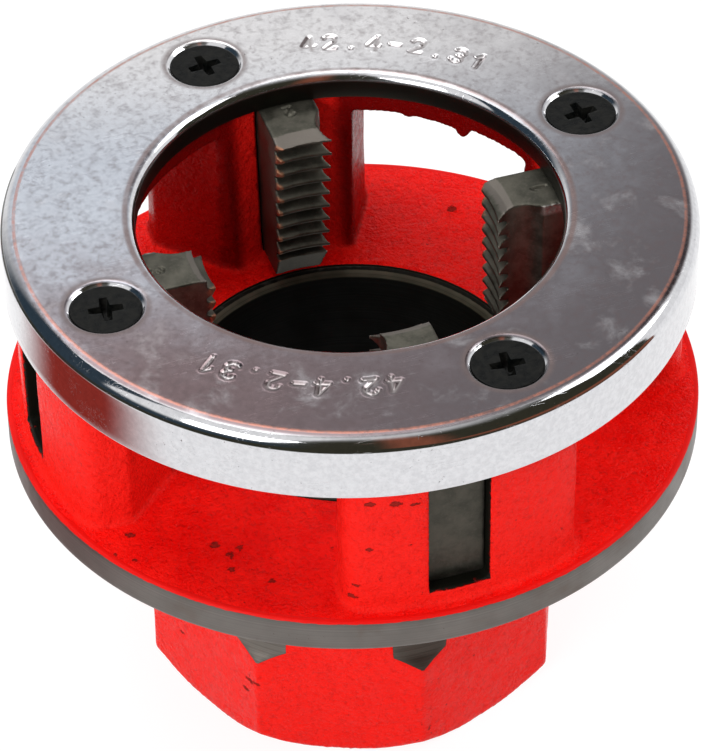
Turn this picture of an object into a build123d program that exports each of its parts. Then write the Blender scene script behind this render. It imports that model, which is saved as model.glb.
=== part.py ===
from build123d import *
import math
import os

# Round threading die head for taper pipe thread, 11 threads to the inch.
# Millimetres. +Z is the head's axis, and Z = 0 is the bottom of the octagonal boss.
# The pipe enters the boss from below. The four chasers lie along +X, +Y, -X and -Y.
# Angles run anticlockwise seen from above. The cutting side of each chaser is its clockwise side.

# --- Pipe, and the thread that the head cuts on it ---
PIPE_RADIUS = 21.2
PITCH = 25.4 / 11
TOOTH_DEPTH = 0.6403 * PITCH
TOOTH_FLAT = PITCH / 6
TAPER_PER_MM = 1 / 32
THREAD_BITE = 1.6

# --- Bore and boss of the body casting ---
GUIDE_CLEARANCE = 0.6
GUIDE_LENGTH = 24.0
GUIDE_CHAMFER = 1.2
CHIP_BORE_STEP = 0.9
MOUTH_CHAMFER = 1.3
MOUTH_CHAMFER_DEPTH = 0.8
MOUTH_LIP = 0.1
MOUTH_LIP_DEPTH = 0.3
BOSS_SIDES = 8
BOSS_WALL = 4.65
BOSS_HEIGHT = 39.1
BOSS_END_INSET = 0.1
BOSS_END_CHAMFER = 2.3
NECK_OVER_FLAT = 1.0
NECK_LENGTH = 20.8
NECK_BEVEL = 2.3

# --- Cover plate ---
PLATE_RADIUS = 45.8
PLATE_WEB = 3.9
PLATE_SKIRT_DEPTH = 9.5
PLATE_SKIRT_WALL = 3.0
PLATE_RIM_FILLET = 2.1
PLATE_HOLE_CLEARANCE = 6.9
PLATE_HOLE_FILLET = 1.45
SKIRT_EDGE = 0.3

# --- Flange, posts and the ring that joins the posts' tops ---
FLANGE_LEDGE = 2.2
FLANGE_THICKNESS = 4.9
FLANGE_EDGE = 0.4
POST_HEIGHT = 26.3
POST_SETBACK = 1.2
POST_WALL_STEP = 1.4
POST_CUTTING_SIDE = 14.8
POST_HEEL_SIDE = 17.0
POST_WAIST_INSET = 8.6
POST_CUTTING_WAIST = 13.8
POST_HEEL_WAIST = 17.3
POST_THROAT_SIDE = 9.5
POST_WALL_DRAFT = 1.9
POST_CORNER_RADIUS = 2.8
POST_FOOT_FILLET = 0.9
RING_WALL_STEP = 1.1
RING_DEPTH = 3.2
SKIRT_RADIAL_GAP = 0.4
SKIRT_END_GAP = 0.2

# --- Chasers and their slots ---
CHASER_COUNT = 4
CHASER_THICKNESS = 8.0
CHASER_OFFSET = -0.1
SLOT_CLEARANCE = 0.05
SLOT_FLOOR_RISE = 1.9
CUTTING_EDGE_INSET = 0.1
HOOK_DEPTH = 1.2
HOOK_BOTTOM_RUN = 4.2
HOOK_STEP_RUN = 6.4
HEEL_CHAMFER = 0.9
THROAT_HEIGHT = 3.9
THROAT_START = 0.8
THROAT_FLARE = 1.8
FIRST_CREST_DROP = 0.6
CREST_BEVEL = 2.4

# --- Cover screws, M5 countersunk ---
SCREW_INSET = 9.0
SCREW_ANGLE = 14.3
SCREW_HEAD_RADIUS = 4.65
SCREW_HEAD_EDGE = 0.1
SCREW_SHANK_RADIUS = 2.4
SCREW_LENGTH = 12.0
SCREW_TIP_CHAMFER = 0.5
TAPPED_HOLE_CLEARANCE = 0.1
TAPPED_HOLE_RUNOUT = 1.5
THROUGH_HOLE_CLEARANCE = 0.35
COUNTERSINK_MARGIN = 0.525
CROSS_SPAN = 4.6
CROSS_WIDTH = 1.1
CROSS_DEPTH = 1.7

# --- Radii worked out from the sizes above ---
TIP_RADIUS = PIPE_RADIUS - THREAD_BITE
GUIDE_RADIUS = PIPE_RADIUS + GUIDE_CLEARANCE
CHIP_BORE_RADIUS = GUIDE_RADIUS + CHIP_BORE_STEP
MOUTH_RADIUS = CHIP_BORE_RADIUS + MOUTH_CHAMFER
LIP_RADIUS = MOUTH_RADIUS + MOUTH_LIP
BOSS_FLAT_RADIUS = CHIP_BORE_RADIUS + BOSS_WALL
BOSS_CORNER_RADIUS = BOSS_FLAT_RADIUS / math.cos(math.pi / BOSS_SIDES)
BOSS_END_RADIUS = BOSS_FLAT_RADIUS - BOSS_END_INSET
NECK_RADIUS = BOSS_FLAT_RADIUS + NECK_OVER_FLAT
PLATE_HOLE_RADIUS = PIPE_RADIUS + PLATE_HOLE_CLEARANCE
RING_INNER_RADIUS = PLATE_HOLE_RADIUS + RING_WALL_STEP
POST_INNER_RADIUS = PLATE_HOLE_RADIUS + POST_WALL_STEP
POST_WALL_FOOT_RADIUS = POST_INNER_RADIUS - POST_WALL_DRAFT
SKIRT_INNER_RADIUS = PLATE_RADIUS - PLATE_SKIRT_WALL
RING_OUTER_RADIUS = SKIRT_INNER_RADIUS - SKIRT_RADIAL_GAP
CHASER_BACK = RING_OUTER_RADIUS
POST_OUTER_RADIUS = PLATE_RADIUS - POST_SETBACK
FLANGE_RADIUS = POST_OUTER_RADIUS + FLANGE_LEDGE
SCREW_CIRCLE_RADIUS = PLATE_RADIUS - SCREW_INSET
COUNTERSINK_RADIUS = SCREW_HEAD_RADIUS + COUNTERSINK_MARGIN

# --- Heights worked out from the sizes above ---
FLANGE_TOP = BOSS_HEIGHT + FLANGE_THICKNESS
SLOT_FLOOR = FLANGE_TOP + SLOT_FLOOR_RISE
RING_TOP = FLANGE_TOP + POST_HEIGHT
PLATE_TOP = RING_TOP + PLATE_WEB
SKIRT_END = PLATE_TOP - PLATE_SKIRT_DEPTH
SHOULDER = SKIRT_END - SKIRT_END_GAP
SCREW_TOP = PLATE_TOP - COUNTERSINK_MARGIN + SCREW_HEAD_EDGE
CHASER_HEIGHT = RING_TOP - SLOT_FLOOR
STEP_ANGLE = 360 / CHASER_COUNT
OVERCUT = 1.0


def lathe(points):
    """Solid of revolution about Z from (radius, height) points."""
    outline = make_face(Polyline([(r, 0, z) for r, z in points], close=True))
    return revolve(outline, Axis.Z, 360)


def disc(radius, low, high):
    """Cylinder on Z between two heights."""
    return Pos(0, 0, low) * Cylinder(radius, high - low, align=(Align.CENTER, Align.CENTER, Align.MIN))


def prism(points, low, high):
    """Prism with a plan outline, between two heights."""
    outline = make_face(Polyline([(x, y, low) for x, y in points], close=True))
    return extrude(outline, high - low, dir=(0, 0, 1))


def around(shape, index):
    """A copy of a shape modelled on +X, turned to the place of the chaser with this index."""
    return Rot(0, 0, index * STEP_ANGLE) * shape


def screw_place(index):
    """Location on the screw circle, at the heel side of the chaser with this index."""
    angle = math.radians(index * STEP_ANGLE + SCREW_ANGLE)
    return Pos(SCREW_CIRCLE_RADIUS * math.cos(angle), SCREW_CIRCLE_RADIUS * math.sin(angle), 0)


def boss():
    """Octagonal boss with rounded end corners and a turned neck under the flange."""
    end = BOSS_END_RADIUS
    corner = BOSS_CORNER_RADIUS
    neck_low = BOSS_HEIGHT - NECK_LENGTH
    octagon = Pos(0, 0, BOSS_HEIGHT / 2) * extrude(
        RegularPolygon(corner, BOSS_SIDES), BOSS_HEIGHT / 2, both=True)
    turned = lathe([
        (0, 0),
        (end, 0),
        (corner, BOSS_END_CHAMFER),
        (corner, neck_low - NECK_BEVEL),
        (NECK_RADIUS, neck_low),
        (NECK_RADIUS, BOSS_HEIGHT),
        (0, BOSS_HEIGHT),
    ])
    return octagon & turned


def flange():
    """Round flange, with a turned rim and small edge chamfers."""
    plate = disc(FLANGE_RADIUS, BOSS_HEIGHT, FLANGE_TOP)
    rims = plate.edges().filter_by(GeomType.CIRCLE)
    return chamfer(rims, FLANGE_EDGE)


def side_at(along, outer_along, outer_side, waist_along, waist_side):
    """Half-width of a post's side at a distance along its axis, on the line through two places."""
    share = (along - waist_along) / (outer_along - waist_along)
    return waist_side + share * (outer_side - waist_side)


def post():
    """One post on +X: near parallel sides outside, tapered inside, cut back under the skirt."""
    far = FLANGE_RADIUS
    waist = POST_OUTER_RADIUS - POST_WAIST_INSET
    throat = math.sqrt(POST_INNER_RADIUS**2 - POST_THROAT_SIDE**2)
    near = throat - 2 * POST_WALL_DRAFT
    corners = []
    for hand, side, waist_side in (
            (-1, POST_CUTTING_SIDE, POST_CUTTING_WAIST),
            (1, POST_HEEL_SIDE, POST_HEEL_WAIST)):
        outer_along = math.sqrt(POST_OUTER_RADIUS**2 - side**2)
        far_side = side_at(far, outer_along, side, waist, waist_side)
        near_side = side_at(near, waist, waist_side, throat, POST_THROAT_SIDE)
        line = [(near, hand * near_side), (waist, hand * waist_side), (far, hand * far_side)]
        corners += line if hand < 0 else line[::-1]
    wedge = prism(corners, FLANGE_TOP, RING_TOP)
    inner_wall = lathe([
        (0, FLANGE_TOP - OVERCUT),
        (POST_WALL_FOOT_RADIUS, FLANGE_TOP - OVERCUT),
        (POST_WALL_FOOT_RADIUS, FLANGE_TOP),
        (POST_INNER_RADIUS, RING_TOP),
        (POST_INNER_RADIUS, RING_TOP + OVERCUT),
        (0, RING_TOP + OVERCUT),
    ])
    shell = disc(POST_OUTER_RADIUS, FLANGE_TOP, RING_TOP) - inner_wall
    solid = wedge & shell
    upright = solid.edges().filter_by(Axis.Z)
    middle = (waist + POST_OUTER_RADIUS) / 2
    outer = upright.filter_by(lambda e: math.hypot(e.center().X, e.center().Y) > middle)
    solid = fillet(outer, POST_CORNER_RADIUS)
    rebate = disc(FLANGE_RADIUS, SHOULDER, RING_TOP) - disc(RING_OUTER_RADIUS, SHOULDER, RING_TOP)
    return solid - rebate


def bore():
    """Everything that the pipe and the chips pass through, cut from the boss and the flange."""
    guide = GUIDE_RADIUS
    mouth = FLANGE_TOP - MOUTH_LIP_DEPTH
    chip_top = mouth - MOUTH_CHAMFER_DEPTH
    return lathe([
        (0, -OVERCUT),
        (guide + GUIDE_CHAMFER + OVERCUT, -OVERCUT),
        (guide, GUIDE_CHAMFER),
        (guide, GUIDE_LENGTH),
        (CHIP_BORE_RADIUS, GUIDE_LENGTH + CHIP_BORE_STEP),
        (CHIP_BORE_RADIUS, chip_top),
        (MOUTH_RADIUS, mouth),
        (LIP_RADIUS, FLANGE_TOP),
        (LIP_RADIUS, FLANGE_TOP + OVERCUT),
        (0, FLANGE_TOP + OVERCUT),
    ])


def chaser_slot():
    """Radial slot for one chaser, open at the top and at the outside."""
    width = CHASER_THICKNESS + 2 * SLOT_CLEARANCE
    low = CHASER_OFFSET - width / 2
    high = CHASER_OFFSET + width / 2
    near = POST_INNER_RADIUS / 2
    far = FLANGE_RADIUS
    return prism([(near, low), (far, low), (far, high), (near, high)], SLOT_FLOOR, RING_TOP + OVERCUT)


def foot_edges(solid):
    """The concave edges where the posts stand on the flange, apart from the edges near the mouth."""
    low = solid.edges().filter_by(lambda e: abs(e.bounding_box().min.Z - FLANGE_TOP) < 0.01)
    flat = low.filter_by(lambda e: abs(e.bounding_box().max.Z - FLANGE_TOP) < 0.01)
    inner = (LIP_RADIUS + POST_WALL_FOOT_RADIUS) / 2
    outer = (POST_OUTER_RADIUS + FLANGE_RADIUS) / 2
    return flat.filter_by(lambda e: inner < math.hypot(e.position_at(0.5).X, e.position_at(0.5).Y) < outer)


def body_casting():
    """Boss, flange, four posts and top ring in one piece."""
    ring = disc(RING_OUTER_RADIUS, RING_TOP - RING_DEPTH, RING_TOP)
    ring -= disc(RING_INNER_RADIUS, RING_TOP - RING_DEPTH, RING_TOP)
    solid = boss() + flange()
    for index in range(CHASER_COUNT):
        solid += around(post(), index)
    solid = fillet(foot_edges(solid), POST_FOOT_FILLET)
    solid += ring
    solid -= bore()
    tapped = SCREW_SHANK_RADIUS + TAPPED_HOLE_CLEARANCE
    tapped_end = SCREW_TOP - SCREW_LENGTH - TAPPED_HOLE_RUNOUT
    for index in range(CHASER_COUNT):
        solid -= around(chaser_slot(), index)
        solid -= screw_place(index) * disc(tapped, tapped_end, RING_TOP + OVERCUT)
    return solid


def chaser_blank():
    """Chaser on +X before the teeth are cut, with the hook ground into its cutting side."""
    cutting = CHASER_OFFSET - CHASER_THICKNESS / 2
    heel = CHASER_OFFSET + CHASER_THICKNESS / 2
    start = TIP_RADIUS - TOOTH_DEPTH
    edge = cutting + CUTTING_EDGE_INSET
    tip = math.sqrt(TIP_RADIUS**2 - edge**2)
    hook = ThreePointArc(
        (tip, edge, 0),
        (tip + HOOK_BOTTOM_RUN, edge + HOOK_DEPTH, 0),
        (tip + HOOK_STEP_RUN, cutting, 0))
    rest = Polyline([
        (tip + HOOK_STEP_RUN, cutting, 0),
        (CHASER_BACK, cutting, 0),
        (CHASER_BACK, heel, 0),
        (tip + HEEL_CHAMFER, heel, 0),
        (start, heel - HEEL_CHAMFER - (tip - start), 0),
        (start, edge, 0),
        (tip, edge, 0),
    ])
    outline = make_face([hook, rest])
    return Pos(0, 0, SLOT_FLOOR) * extrude(outline, CHASER_HEIGHT, dir=(0, 0, 1))


def thread_form(crest_top):
    """The cut thread as a solid of revolution: the space that a chaser's teeth leave free."""
    flat = TOOTH_FLAT / 2
    throat_top = SLOT_FLOOR + THROAT_HEIGHT
    throat = TIP_RADIUS + THROAT_START
    flare = THROAT_FLARE * (THROAT_HEIGHT + OVERCUT) / THROAT_HEIGHT
    points = [(0, SLOT_FLOOR - OVERCUT), (throat + flare, SLOT_FLOOR - OVERCUT), (throat, throat_top)]
    count = math.floor((crest_top - throat_top - flat) / PITCH)
    for turn in range(count, -1, -1):
        height = crest_top - turn * PITCH
        crest = TIP_RADIUS + (RING_TOP - height) * TAPER_PER_MM
        root = crest + TOOTH_DEPTH
        if height - PITCH / 2 - flat > throat_top:
            points.append((root, height - PITCH / 2 - flat))
        points.append((root, max(height - PITCH / 2 + flat, throat_top + flat)))
        points.append((crest, height - flat))
        points.append((crest, height + flat))
    last = TIP_RADIUS + TOOTH_DEPTH
    points.append((last, crest_top + PITCH / 2 - flat))
    points.append((last, RING_TOP + PITCH))
    points.append((0, RING_TOP + PITCH))
    return lathe(points)


def chaser(index):
    """One chaser on +X. Each next chaser has its teeth a quarter pitch higher, along one helix."""
    lead_angle = math.degrees(math.atan(PITCH / (2 * math.pi * (TIP_RADIUS + TOOTH_DEPTH / 2))))
    bevel_low = RING_TOP - FIRST_CREST_DROP
    second = index - 1
    shift = (second * PITCH / CHASER_COUNT) % PITCH
    crest_top = bevel_low + shift - (PITCH if shift > 0 else 0)
    middle = Pos(0, 0, crest_top)
    form = middle * Rot(lead_angle, 0, 0) * middle.inverse() * thread_form(crest_top)
    bevel = lathe([
        (0, bevel_low),
        (TIP_RADIUS, bevel_low),
        (TIP_RADIUS + CREST_BEVEL, RING_TOP),
        (TIP_RADIUS + CREST_BEVEL, RING_TOP + OVERCUT),
        (0, RING_TOP + OVERCUT),
    ])
    return chaser_blank() - form - bevel


def cover_plate():
    """Pressed round cover with a skirt, a rounded rim, a rounded hole and four countersinks."""
    solid = disc(PLATE_RADIUS, SKIRT_END, PLATE_TOP) - disc(SKIRT_INNER_RADIUS, SKIRT_END, RING_TOP)
    solid -= disc(PLATE_HOLE_RADIUS, RING_TOP, PLATE_TOP)
    top_rims = solid.edges().filter_by(GeomType.CIRCLE).group_by(Axis.Z)[-1].sort_by(
        lambda e: e.radius)
    solid = fillet(top_rims[0], PLATE_HOLE_FILLET)
    rims = solid.edges().filter_by(GeomType.CIRCLE)
    outer = rims.filter_by(lambda e: abs(e.radius - PLATE_RADIUS) < 0.01).sort_by(Axis.Z)
    solid = fillet(outer[-1], PLATE_RIM_FILLET)
    low = solid.edges().filter_by(GeomType.CIRCLE).group_by(Axis.Z)[0]
    solid = chamfer(low, SKIRT_EDGE)
    through = SCREW_SHANK_RADIUS + THROUGH_HOLE_CLEARANCE
    sink = lathe([
        (0, RING_TOP - OVERCUT),
        (through, RING_TOP - OVERCUT),
        (through, PLATE_TOP - COUNTERSINK_RADIUS + through),
        (COUNTERSINK_RADIUS + OVERCUT, PLATE_TOP + OVERCUT),
        (0, PLATE_TOP + OVERCUT),
    ])
    for index in range(CHASER_COUNT):
        solid -= screw_place(index) * sink
    return solid


def cover_screw(index):
    """Countersunk screw with a cross recess. The hidden thread is plain."""
    head_low = SCREW_TOP - SCREW_HEAD_EDGE
    cone_end = head_low - (SCREW_HEAD_RADIUS - SCREW_SHANK_RADIUS)
    tip = SCREW_TOP - SCREW_LENGTH
    turned = lathe([
        (0, tip),
        (SCREW_SHANK_RADIUS - SCREW_TIP_CHAMFER, tip),
        (SCREW_SHANK_RADIUS, tip + SCREW_TIP_CHAMFER),
        (SCREW_SHANK_RADIUS, cone_end),
        (SCREW_HEAD_RADIUS, head_low),
        (SCREW_HEAD_RADIUS, SCREW_TOP),
        (0, SCREW_TOP),
    ])
    recess = Pos(0, 0, SCREW_TOP - CROSS_DEPTH / 2) * (
        Box(CROSS_SPAN, CROSS_WIDTH, CROSS_DEPTH) + Box(CROSS_WIDTH, CROSS_SPAN, CROSS_DEPTH))
    return screw_place(index) * (turned - recess)


def save(name, solid):
    """Write one sub-part to its own STEP file."""
    export_step(solid, os.path.join("parts", name + ".step"))


def main():
    os.makedirs("parts", exist_ok=True)
    save("body_casting", body_casting())
    save("cover_plate", cover_plate())
    for index in range(CHASER_COUNT):
        save("chaser_%d" % (index + 1), around(chaser(index), index))
        save("cover_screw_%d" % (index + 1), cover_screw(index))


main()
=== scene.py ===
import random
from math import atan2, cos, degrees, hypot, pi, radians, sin

import bmesh
import bpy
import numpy as np
from mathutils import Matrix, Vector, noise


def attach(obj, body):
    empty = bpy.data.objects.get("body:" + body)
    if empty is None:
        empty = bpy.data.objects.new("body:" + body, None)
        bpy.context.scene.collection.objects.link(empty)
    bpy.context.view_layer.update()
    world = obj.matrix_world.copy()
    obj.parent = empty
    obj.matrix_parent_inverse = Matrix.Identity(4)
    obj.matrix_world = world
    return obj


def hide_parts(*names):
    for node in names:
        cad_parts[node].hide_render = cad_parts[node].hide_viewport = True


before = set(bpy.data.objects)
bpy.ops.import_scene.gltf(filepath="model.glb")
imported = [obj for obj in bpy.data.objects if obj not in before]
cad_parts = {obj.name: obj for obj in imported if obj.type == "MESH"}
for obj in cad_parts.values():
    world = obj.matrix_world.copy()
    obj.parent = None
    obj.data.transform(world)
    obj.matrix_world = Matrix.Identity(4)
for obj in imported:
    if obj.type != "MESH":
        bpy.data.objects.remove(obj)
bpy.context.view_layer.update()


# Round threading die head: a red cast body, a chromed cover plate, four chasers and four screws.
# Sizes are in millimetres up to the moment when a piece is made, and metres after that.
MM = 0.001
FAR = 999.0

# --- Sizes shared with the solid model ---
BOSS_HEIGHT = 39.1
BOSS_CORNER = 29.6
FLANGE_TOP = BOSS_HEIGHT + 4.9
FLANGE_RADIUS = 46.8
FLANGE_EDGE = 0.4
NECK_LOW = 16.0
NECK_TOP = 18.3
NECK_RADIUS = 28.35
MOUTH_RADIUS = 24.1
SLOT_FLOOR = FLANGE_TOP + 1.9
SLOT_HALF = 4.05
SLOT_OFFSET = -0.1
WALL_FOOT = 27.6
RING_TOP = FLANGE_TOP + 26.3
RING_LOW = RING_TOP - 3.2
PLATE_TOP = RING_TOP + 3.9
PLATE_RADIUS = 45.8
PLATE_HOLE = 28.1
RIM_FILLET = 2.1
HOLE_FILLET = 1.45
SKIRT_END = PLATE_TOP - 9.5
SKIRT_INNER = 42.8
SCREW_CIRCLE = 36.8
SCREW_ANGLE = 14.3
SCREW_TOP = PLATE_TOP - 0.425
SCREW_LENGTH = 12.0
COUNTERSINK = 5.175
TIP_RADIUS = 19.6
CHASER_HALF = 4.0
BORE_PROFILE = [
    (23.0, 0.0), (21.8, 1.2), (21.8, 24.0), (22.7, 24.9), (22.7, FLANGE_TOP - 1.1),
    (24.0, FLANGE_TOP - 0.3), (MOUTH_RADIUS, FLANGE_TOP)]


# --- Meshes ---
def points_of(mesh):
    """The mesh's points as an array."""
    flat = np.empty(len(mesh.vertices) * 3)
    mesh.vertices.foreach_get("co", flat)
    return flat.reshape(-1, 3)


def normals_of(mesh):
    """The mesh's point normals as an array."""
    flat = np.empty(len(mesh.vertices) * 3, np.float32)
    mesh.vertex_normals.foreach_get("vector", flat)
    return flat.reshape(-1, 3).astype(float)


def set_points(mesh, points):
    """Moves the mesh's points."""
    mesh.vertices.foreach_set("co", points.astype(np.float32).ravel())
    mesh.update()


def add_mask(mesh, name, values):
    """Keeps one number per point under a name that the finishes read."""
    layer = mesh.attributes.new(name, "FLOAT", "POINT")
    layer.data.foreach_set("value", values.astype(np.float32))


def noise_at(points, *layers):
    """Smooth noise about 0 at each point, in layers of an amount, a feature size and a seed."""
    total = np.zeros(len(points))
    for amount, size, seed in layers:
        shift = Vector((seed * 17.3, seed * 5.1, seed * 9.7))
        total += amount * np.array([noise.noise(Vector(p) / size + shift) for p in points])
    return total


def radius_of(points):
    return np.hypot(points[:, 0], points[:, 1])


def bearing_of(points):
    """Angle about the head's axis, in degrees."""
    return np.degrees(np.arctan2(points[:, 1], points[:, 0]))


def ramp(values, low, high):
    """0 up to the low value, 1 from the high one, and smooth between them."""
    t = np.clip((values - low) / (high - low), 0, 1)
    return t * t * (3 - 2 * t)


def edited(mesh, *changes):
    """The mesh after some changes, each a function on its editable form."""
    work = bmesh.new()
    work.from_mesh(mesh)
    for change in changes:
        change(work)
    work.to_mesh(mesh)
    work.free()
    return mesh


def facing_out(work):
    """Turns every face outwards."""
    bmesh.ops.recalc_face_normals(work, faces=work.faces)


def joined(gap):
    """A change that joins the points closer together than the gap."""
    return lambda work: bmesh.ops.remove_doubles(work, verts=work.verts, dist=gap)


def node_mesh(name):
    """A closed working copy of a solid's mesh, in millimetres."""
    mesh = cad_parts[name].data.copy()
    mesh.transform(Matrix.Scale(1 / MM, 4))
    edited(mesh, joined(0.002))
    mesh.materials.clear()
    return mesh


def placed(name, data):
    """A new object in the scene with the given mesh, lamp or camera."""
    made = bpy.data.objects.new(name, data)
    bpy.context.scene.collection.objects.link(made)
    return made


def worked(mesh, steps):
    """The mesh after some modifiers, each given as (kind, settings)."""
    holder = placed("work", mesh)
    for kind, settings in steps:
        step = holder.modifiers.new(kind.lower(), kind)
        for key, value in settings.items():
            setattr(step, key, value)
    shown = holder.evaluated_get(bpy.context.evaluated_depsgraph_get())
    result = bpy.data.meshes.new_from_object(shown)
    bpy.data.objects.remove(holder)
    return result


def skinned(mesh, voxel, smoothing):
    """The same form as one even skin, with its sharp edges softened."""
    return worked(mesh, [
        ("REMESH", {"mode": "VOXEL", "voxel_size": voxel}),
        ("SMOOTH", {"factor": 0.5, "iterations": smoothing}),
    ])


def thinned(mesh, kept):
    """The same form with a part of its triangles kept."""
    return worked(mesh, [("DECIMATE", {"decimate_type": "COLLAPSE", "ratio": kept})])


def cut(mesh, cutter, *later):
    """The mesh with a cutter's form taken out of it, and then any later steps."""
    tool = placed("cutter", cutter)
    taken_out = ("BOOLEAN", {"operation": "DIFFERENCE", "object": tool, "solver": "EXACT"})
    mesh = worked(mesh, [taken_out, *later])
    bpy.data.objects.remove(tool)
    return mesh


def built(name, points, faces):
    """A mesh from its points and faces."""
    mesh = bpy.data.meshes.new(name)
    mesh.from_pydata(points, [], faces)
    return mesh


def between_rings(rings, count, closed=False):
    """Faces from each ring of points to the next, and from the last to the first if closed."""
    faces = []
    for ring in range(rings if closed else rings - 1):
        low = ring * count
        high = (ring + 1) % rings * count
        for i in range(count):
            k = (i + 1) % count
            faces.append((low + i, low + k, high + k, high + i))
    return faces


def lathe(profile, segments=360, closed=True):
    """Mesh turned about the axis from (radius, height) points."""
    turns = [2 * pi * i / segments for i in range(segments)]
    points = [(r * cos(a), r * sin(a), z) for r, z in profile for a in turns]
    mesh = built("turned", points, between_rings(len(profile), segments, closed))
    mesh.validate()
    return edited(mesh, joined(0.0005), facing_out)


def bow(centre_x, centre_y, half_x, half_y, start, end, steps=8):
    """Points on a flat or round bow, angles in degrees."""
    turns = [radians(start + (end - start) * i / steps) for i in range(steps + 1)]
    return [(centre_x + half_x * cos(a), centre_y + half_y * sin(a)) for a in turns]


def round_corner(centre, radius, start, end, steps):
    """Points on an arc in the turning profile."""
    return bow(*centre, radius, radius, start, end, steps)


def round_sheet(name, radius, segments):
    """A flat round sheet."""
    return edited(bpy.data.meshes.new(name), lambda work: bmesh.ops.create_circle(
        work, cap_ends=True, segments=segments, radius=radius))


def edge_mask(mesh, reach):
    """How far each point stands out from its neighbours: 0 on flats, up to 1 on edges."""
    points = points_of(mesh)
    normals = normals_of(mesh)
    pairs = np.empty(len(mesh.edges) * 2, np.int64)
    mesh.edges.foreach_get("vertices", pairs)
    a, b = pairs.reshape(-1, 2).T
    count = np.maximum(np.bincount(a, minlength=len(points)) + np.bincount(b, minlength=len(points)), 1)

    def summed(at_a, at_b):
        total = np.zeros((len(points), *at_a.shape[1:]))
        np.add.at(total, a, at_a)
        np.add.at(total, b, at_b)
        return total

    span = np.linalg.norm(points[a] - points[b], axis=1)
    middle = summed(points[b], points[a]) / count[:, None]
    stand = ((points - middle) * normals).sum(1) / np.maximum(summed(span, span) / count, 1e-6)
    for _ in range(reach):
        stand = 0.4 * stand + 0.6 * summed(stand[b], stand[a]) / count
    return stand


def finish_piece(name, mesh, finish, node=None, sharp=None):
    """Makes the piece in metres, on the root body, with its finish."""
    mesh.transform(Matrix.Scale(MM, 4))
    mesh.name = name
    mesh.materials.clear()
    mesh.materials.append(finish)
    mesh.polygons.foreach_set("use_smooth", [True] * len(mesh.polygons))
    if sharp is not None:
        mesh.set_sharp_from_angle(angle=radians(sharp))
    mesh.update()
    piece = placed(name, mesh)
    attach(piece, "root")
    if node:
        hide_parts(node)


# --- Figures stamped with punches ---
FIGURES = {
    "1": [[(0.12, 0.76), (0.34, 0.98), (0.34, 0.02)]],
    "2": [bow(0.3, 0.7, 0.26, 0.28, 165, -40) + [(0.03, 0.02), (0.58, 0.02)]],
    "3": [bow(0.28, 0.73, 0.25, 0.25, 150, -90), bow(0.28, 0.25, 0.28, 0.24, 90, -150)],
    "4": [[(0.44, 0.02), (0.44, 0.98), (0.03, 0.3), (0.6, 0.3)]],
    "-": [[(0.08, 0.45), (0.52, 0.45)]],
    ".": [[(0.29, 0.04), (0.31, 0.04)]],
}


def figure_segments(text, height, pitch, seed):
    """Straight strokes of a row of figures, each punched a little out of line."""
    rng = random.Random(seed)
    strokes = []
    for place, letter in enumerate(text):
        lean = radians(rng.uniform(-5, 5))
        drop = rng.uniform(-0.12, 0.12)
        depth = rng.uniform(0.75, 1.15)
        for line in FIGURES[letter]:
            moved = []
            for x, y in line:
                x, y = x * height, (y - 0.5) * height
                turned_x = x * cos(lean) - y * sin(lean)
                turned_y = x * sin(lean) + y * cos(lean)
                moved.append((place * pitch + turned_x, turned_y + drop + height / 2))
            strokes += [(moved[i], moved[i + 1], depth) for i in range(len(moved) - 1)]
    return strokes


def stamped(u, v, strokes, half_width, depth):
    """Height change at flat places (u, v): a groove along each stroke and a low lip beside it."""
    near = np.full(len(u), 99.0)
    force = np.ones(len(u))
    for (ax, ay), (bx, by), strength in strokes:
        dx, dy = bx - ax, by - ay
        t = np.clip(((u - ax) * dx + (v - ay) * dy) / (dx * dx + dy * dy), 0, 1)
        far = np.hypot(u - ax - t * dx, v - ay - t * dy)
        closer = far < near
        near = np.where(closer, far, near)
        force = np.where(closer, strength, force)
    groove = -depth * force * np.clip(1 - near / half_width, 0, 1) ** 0.8
    lip = 0.14 * depth * force * np.exp(-((near - 1.35 * half_width) / (0.35 * half_width)) ** 2)
    return groove + lip


def refine(mesh, wanted, cuts):
    """Divides the faces whose centres are wanted."""
    def divide(work):
        chosen = [f for f in work.faces if wanted(f.calc_center_median())]
        edges = {e for f in chosen for e in f.edges}
        bmesh.ops.subdivide_edges(work, edges=list(edges), cuts=cuts, use_grid_fill=True)
    edited(mesh, divide)


# --- Shader building ---
def fill(tree, node, inputs):
    """Gives a node its inputs, each a number, a colour or another node's output."""
    for key, value in inputs.items():
        if isinstance(value, bpy.types.NodeSocket):
            tree.links.new(value, node.inputs[key])
        else:
            node.inputs[key].default_value = value


def add_node(tree, kind, inputs=None, **settings):
    """A shader node with its settings and inputs."""
    made = tree.nodes.new("ShaderNode" + kind)
    for key, value in settings.items():
        setattr(made, key, value)
    fill(tree, made, inputs or {})
    return made


def calc(tree, operation, a, b=0.0, clamp=False):
    """One sum of two values."""
    return add_node(tree, "Math", {0: a, 1: b}, operation=operation, use_clamp=clamp).outputs[0]


def greater(tree, a, b):
    return calc(tree, "MAXIMUM", a, b)


def times(tree, a, b):
    return calc(tree, "MULTIPLY", a, b)


def plus(tree, a, b):
    return calc(tree, "ADD", a, b)


def minus(tree, a, b):
    return calc(tree, "SUBTRACT", a, b)


def sway(tree, value, amount):
    """A value of about a half turned into one about 0, for uneven lines and patches."""
    return times(tree, minus(tree, value, 0.5), amount)


def vector_calc(tree, operation, a, b=(0.0, 0.0, 0.0)):
    """One sum of two vectors; returns its vector and its value."""
    return add_node(tree, "VectorMath", {0: a, 1: b}, operation=operation).outputs


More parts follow.
